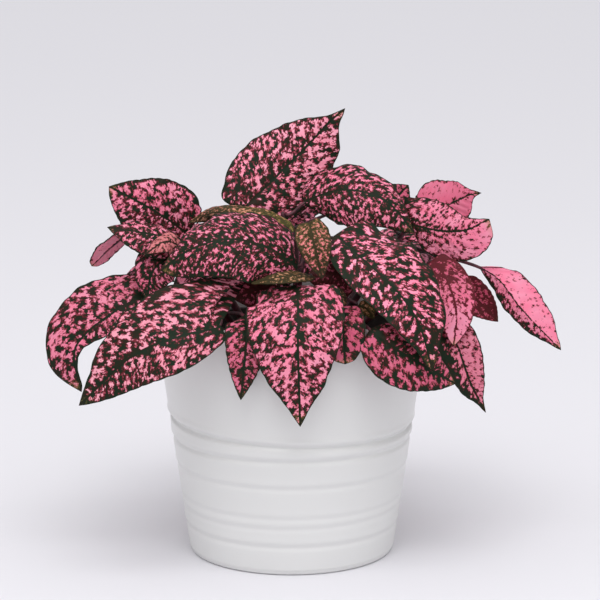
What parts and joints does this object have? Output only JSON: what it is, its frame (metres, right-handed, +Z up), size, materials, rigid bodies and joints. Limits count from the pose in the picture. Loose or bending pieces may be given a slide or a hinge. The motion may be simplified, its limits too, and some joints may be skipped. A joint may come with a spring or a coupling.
{
  "type": "potted polka dot plant",
  "caption": "Potted house plant with pink and dark green speckled leaves on thin stems, in a plain white ridged ceramic pot, for a shelf, table or sill.",
  "frame": {"origin": "the middle of the pot's flat foot, on the surface that it stands on", "axes": "+Z up the pot's axis, +X to the plant's right seen from its front, -Y towards its front"},
  "size_m": [0.2383, 0.178, 0.206],
  "materials": {
    "glazed_pot": "white satin glaze over thrown rings",
    "nursery_plastic": "thin matt black-brown plastic",
    "soil": "dark crumbly peat mix",
    "stem": "soft maroon-green stem with fine hairs",
    "leaf": "soft matt leaf, rose pink blotched with dark green",
    "young_leaf": "soft matt young leaf, olive and beige speckled with rose"
  },
  "bodies": {
    "root": {"cover_pot": "glazed_pot", "nursery_pot": "nursery_plastic", "potting_soil": "soil", "stem_a": "stem", "stem_b": "stem", "stem_c": "stem", "stem_d": "stem", "stem_e": "stem", "stem_f": "stem", "stem_g": "stem", "stem_h": "stem", "stem_i": "stem", "stem_j": "stem", "leaf_crown": "leaf", "leaf_arch_right": "leaf", "leaf_arch_left": "leaf", "leaf_young_arch": "young_leaf", "leaf_young_front": "young_leaf", "leaf_crown_back": "leaf", "leaf_crown_back_left": "leaf", "leaf_crown_back_right": "leaf", "leaf_dome_left": "leaf", "leaf_sweep_right": "leaf", "leaf_front_middle": "leaf", "leaf_young_curl": "young_leaf", "leaf_inner_left": "leaf", "leaf_front_left": "leaf", "leaf_front_right": "leaf", "leaf_right_low": "leaf", "leaf_young_left_bud": "young_leaf", "leaf_young_right_bud": "young_leaf", "leaf_left_high": "leaf", "leaf_left_middle": "leaf", "leaf_young_left": "young_leaf", "leaf_left_drooping": "leaf", "leaf_left_far": "leaf", "leaf_left_hanging": "leaf", "leaf_left_front": "leaf", "leaf_left_inner": "leaf", "leaf_left_top_inner": "leaf", "leaf_right_high_front": "leaf", "leaf_right_high_back": "leaf", "leaf_right_top_small": "leaf", "leaf_right_far": "leaf", "leaf_right_shade": "leaf", "leaf_right_top_inner": "leaf", "leaf_right_inner": "leaf", "leaf_right_shaded": "leaf", "leaf_right_maroon": "leaf", "leaf_right_hanging": "leaf", "leaf_back_top": "leaf", "leaf_back_middle": "leaf", "leaf_back_right_top": "leaf", "leaf_back_right_low": "leaf", "leaf_flank_right": "leaf", "leaf_flank_right_low": "leaf", "leaf_back_left_top": "leaf", "leaf_back_left_low": "leaf", "leaf_flank_left": "leaf", "leaf_flank_left_low": "leaf"}
  },
  "joints": []
}
